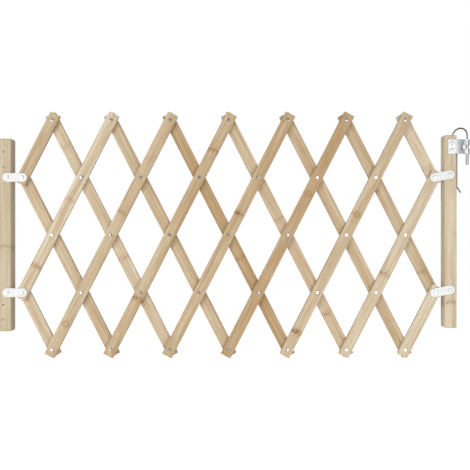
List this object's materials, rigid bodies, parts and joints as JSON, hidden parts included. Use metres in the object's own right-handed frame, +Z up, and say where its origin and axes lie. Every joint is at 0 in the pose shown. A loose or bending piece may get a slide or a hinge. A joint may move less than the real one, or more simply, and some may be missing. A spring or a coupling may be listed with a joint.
{
  "type": "folding safety gate",
  "caption": "Folding child safety gate: a riveted scissor lattice of bamboo bars between square posts, with white link plates and a drop-pin latch.",
  "frame": {"origin": "centre of the hinge post's back face, the face that lies against the wall", "axes": "+X along the gate towards the latch, +Y to the back, +Z up; the front faces -Y"},
  "size_m": [1.0947, 0.0434, 0.5732],
  "materials": {
    "bamboo_bars": "planed bamboo, satin lacquer",
    "bamboo_posts": "planed bamboo, satin lacquer",
    "rivet_steel": "plated steel rivet",
    "screw_steel": "bright plated screw",
    "link_plastic": "white moulded nylon, soft gloss",
    "latch_zinc": "zinc plated sheet steel",
    "wire_steel": "zinc plated steel wire"
  },
  "bodies": {
    "left_post": {"left_post": "bamboo_posts", "link_screw_upper_left": "screw_steel"},
    "link_upper_left": {"link_upper_left": "link_plastic"},
    "link_lower_left": {"link_lower_left": "link_plastic", "link_screw_lower_left": "screw_steel"},
    "link_upper_right": {"link_upper_right": "link_plastic"},
    "link_lower_right": {"link_lower_right": "link_plastic", "link_screw_lower_right": "screw_steel"},
    "right_post": {"right_post": "bamboo_posts", "link_screw_upper_right": "screw_steel", "latch_bracket": "latch_zinc", "bracket_screw_1": "screw_steel", "bracket_screw_2": "screw_steel", "bail_guide": "latch_zinc", "guide_screw_1": "screw_steel", "guide_screw_2": "screw_steel"},
    "latch_pin": {"latch_pin": "wire_steel", "pin_bail": "wire_steel"},
    "front_bar_1": {"front_bar_1": "bamboo_bars", "rivet_c0_r2": "rivet_steel"},
    "back_bar_1": {"back_bar_1": "bamboo_bars"},
    "front_bar_2": {"front_bar_2": "bamboo_bars", "rivet_c0_r4": "rivet_steel", "rivet_c1_r3": "rivet_steel", "rivet_c2_r2": "rivet_steel"},
    "back_bar_2": {"back_bar_2": "bamboo_bars"},
    "front_bar_3": {"front_bar_3": "bamboo_bars", "rivet_c2_r4": "rivet_steel", "rivet_c4_r2": "rivet_steel"},
    "back_bar_3": {"back_bar_3": "bamboo_bars"},
    "front_bar_4": {"front_bar_4": "bamboo_bars", "rivet_c3_r5": "rivet_steel", "rivet_c6_r2": "rivet_steel", "rivet_c7_r1": "rivet_steel"},
    "back_bar_4": {"back_bar_4": "bamboo_bars"},
    "front_bar_5": {"front_bar_5": "bamboo_bars", "rivet_c7_r3": "rivet_steel"},
    "back_bar_5": {"back_bar_5": "bamboo_bars"},
    "front_bar_6": {"front_bar_6": "bamboo_bars", "rivet_c9_r3": "rivet_steel"},
    "back_bar_6": {"back_bar_6": "bamboo_bars"},
    "front_bar_7": {"front_bar_7": "bamboo_bars", "rivet_c10_r4": "rivet_steel", "rivet_c11_r3": "rivet_steel"},
    "back_bar_7": {"back_bar_7": "bamboo_bars"},
    "front_bar_8": {"front_bar_8": "bamboo_bars", "rivet_c11_r5": "rivet_steel", "rivet_c13_r3": "rivet_steel", "rivet_c14_r2": "rivet_steel"},
    "back_bar_8": {"back_bar_8": "bamboo_bars"},
    "front_bar_9": {"front_bar_9": "bamboo_bars", "rivet_c14_r4": "rivet_steel"},
    "back_bar_9": {"back_bar_9": "bamboo_bars"}
  },
  "joints": [
    {"name": "link_upper_left_hinge", "type": "hinge", "parent": "left_post", "child": "link_upper_left", "pos_m": [0.006, -0.03, 0.13353], "axis": [0, -1, 0], "range_deg": [-4.28, 28.42]},
    {"name": "back_bar_2_hinge", "type": "hinge", "parent": "link_upper_left", "child": "back_bar_2", "pos_m": [0.041, -0.03, 0.13353], "axis": [0, -1, 0], "range_deg": [-48.42, 7.28]},
    {"name": "front_bar_1_hinge", "type": "hinge", "parent": "back_bar_2", "child": "front_bar_1", "pos_m": [0.041, -0.03, 0.13353], "axis": [0, -1, 0], "range_deg": [-6.02, 40.02]},
    {"name": "lattice_fold", "type": "hinge", "parent": "back_bar_2", "child": "front_bar_2", "pos_m": [0.10933, -0.03, 0], "axis": [0, -1, 0], "range_deg": [-6, 40]},
    {"name": "front_bar_3_hinge", "type": "hinge", "parent": "back_bar_2", "child": "front_bar_3", "pos_m": [0.17766, -0.03, -0.13353], "axis": [0, -1, 0], "range_deg": [-6.02, 40.02]},
    {"name": "front_bar_4_hinge", "type": "hinge", "parent": "back_bar_2", "child": "front_bar_4", "pos_m": [0.24599, -0.03, -0.26706], "axis": [0, -1, 0], "range_deg": [-6.02, 40.02]},
    {"name": "back_bar_1_hinge", "type": "hinge", "parent": "front_bar_2", "child": "back_bar_1", "pos_m": [0.041, -0.03, -0.13353], "axis": [0, -1, 0], "range_deg": [-40.02, 6.02]},
    {"name": "back_bar_3_hinge", "type": "hinge", "parent": "front_bar_2", "child": "back_bar_3", "pos_m": [0.17766, -0.03, 0.13353], "axis": [0, -1, 0], "range_deg": [-40.02, 6.02]},
    {"name": "back_bar_4_hinge", "type": "hinge", "parent": "front_bar_3", "child": "back_bar_4", "pos_m": [0.31433, -0.03, 0.13353], "axis": [0, -1, 0], "range_deg": [-40.02, 6.02]},
    {"name": "back_bar_5_hinge", "type": "hinge", "parent": "front_bar_4", "child": "back_bar_5", "pos_m": [0.45099, -0.03, 0.13353], "axis": [0, -1, 0], "range_deg": [-40.02, 6.02]},
    {"name": "front_bar_5_hinge", "type": "hinge", "parent": "back_bar_5", "child": "front_bar_5", "pos_m": [0.51932, -0.03, 0], "axis": [0, -1, 0], "range_deg": [-6.02, 40.02]},
    {"name": "back_bar_6_hinge", "type": "hinge", "parent": "front_bar_4", "child": "back_bar_6", "pos_m": [0.51932, -0.03, 0.26706], "axis": [0, -1, 0], "range_deg": [-40.02, 6.02]},
    {"name": "front_bar_6_hinge", "type": "hinge", "parent": "back_bar_6", "child": "front_bar_6", "pos_m": [0.65599, -0.03, 0], "axis": [0, -1, 0], "range_deg": [-6.02, 40.02]},
    {"name": "front_bar_7_hinge", "type": "hinge", "parent": "back_bar_6", "child": "front_bar_7", "pos_m": [0.72432, -0.03, -0.13353], "axis": [0, -1, 0], "range_deg": [-6.02, 40.02]},
    {"name": "front_bar_8_hinge", "type": "hinge", "parent": "back_bar_6", "child": "front_bar_8", "pos_m": [0.79265, -0.03, -0.26706], "axis": [0, -1, 0], "range_deg": [-6.02, 40.02]},
    {"name": "back_bar_7_hinge", "type": "hinge", "parent": "front_bar_7", "child": "back_bar_7", "pos_m": [0.79265, -0.03, 0], "axis": [0, -1, 0], "range_deg": [-40.02, 6.02]},
    {"name": "back_bar_8_hinge", "type": "hinge", "parent": "front_bar_8", "child": "back_bar_8", "pos_m": [0.92931, -0.03, 0], "axis": [0, -1, 0], "range_deg": [-40.02, 6.02]},
    {"name": "front_bar_9_hinge", "type": "hinge", "parent": "back_bar_8", "child": "front_bar_9", "pos_m": [0.99764, -0.03, -0.13353], "axis": [0, -1, 0], "range_deg": [-6.02, 40.02]},
    {"name": "back_bar_9_hinge", "type": "hinge", "parent": "front_bar_8", "child": "back_bar_9", "pos_m": [0.99764, -0.03, 0.13353], "axis": [0, -1, 0], "range_deg": [-40.02, 6.02]},
    {"name": "link_lower_left_hinge", "type": "hinge", "parent": "front_bar_2", "child": "link_lower_left", "pos_m": [0.041, -0.03, -0.13353], "axis": [0, -1, 0], "range_deg": [-48.42, 7.28]},
    {"name": "link_upper_right_hinge", "type": "hinge", "parent": "front_bar_8", "child": "link_upper_right", "pos_m": [0.99764, -0.03, 0.13353], "axis": [0, -1, 0], "range_deg": [-60.62, 9.11]},
    {"name": "link_lower_right_hinge", "type": "hinge", "parent": "back_bar_8", "child": "link_lower_right", "pos_m": [0.99764, -0.03, -0.13353], "axis": [0, -1, 0], "range_deg": [-5.48, 36.42]},
    {"name": "right_post_hinge", "type": "hinge", "parent": "link_upper_right", "child": "right_post", "pos_m": [1.03204, -0.03, 0.14003], "axis": [0, -1, 0], "range_deg": [-6.11, 40.62]},
    {"name": "latch_pin_lift", "type": "slide", "parent": "right_post", "child": "latch_pin", "axis": [0, 0, 1], "range_m": [0, 0.05]}
  ],
  "couplings": [
    {"joint": "link_upper_left_hinge", "follows": "lattice_fold", "ratio": 0.71},
    {"joint": "back_bar_2_hinge", "follows": "lattice_fold", "ratio": -1.21},
    {"joint": "front_bar_1_hinge", "follows": "lattice_fold", "ratio": 1},
    {"joint": "front_bar_3_hinge", "follows": "lattice_fold", "ratio": 1},
    {"joint": "front_bar_4_hinge", "follows": "lattice_fold", "ratio": 1},
    {"joint": "back_bar_1_hinge", "follows": "lattice_fold", "ratio": -1},
    {"joint": "back_bar_3_hinge", "follows": "lattice_fold", "ratio": -1},
    {"joint": "back_bar_4_hinge", "follows": "lattice_fold", "ratio": -1},
    {"joint": "back_bar_5_hinge", "follows": "lattice_fold", "ratio": -1},
    {"joint": "front_bar_5_hinge", "follows": "lattice_fold", "ratio": 1},
    {"joint": "back_bar_6_hinge", "follows": "lattice_fold", "ratio": -1},
    {"joint": "front_bar_6_hinge", "follows": "lattice_fold", "ratio": 1},
    {"joint": "front_bar_7_hinge", "follows": "lattice_fold", "ratio": 1},
    {"joint": "front_bar_8_hinge", "follows": "lattice_fold", "ratio": 1},
    {"joint": "back_bar_7_hinge", "follows": "lattice_fold", "ratio": -1},
    {"joint": "back_bar_8_hinge", "follows": "lattice_fold", "ratio": -1},
    {"joint": "front_bar_9_hinge", "follows": "lattice_fold", "ratio": 1},
    {"joint": "back_bar_9_hinge", "follows": "lattice_fold", "ratio": -1},
    {"joint": "link_lower_left_hinge", "follows": "lattice_fold", "ratio": -1.21},
    {"joint": "link_upper_right_hinge", "follows": "lattice_fold", "ratio": -1.515},
    {"joint": "link_lower_right_hinge", "follows": "lattice_fold", "ratio": 0.91},
    {"joint": "right_post_hinge", "follows": "lattice_fold", "ratio": 1.015}
  ]
}
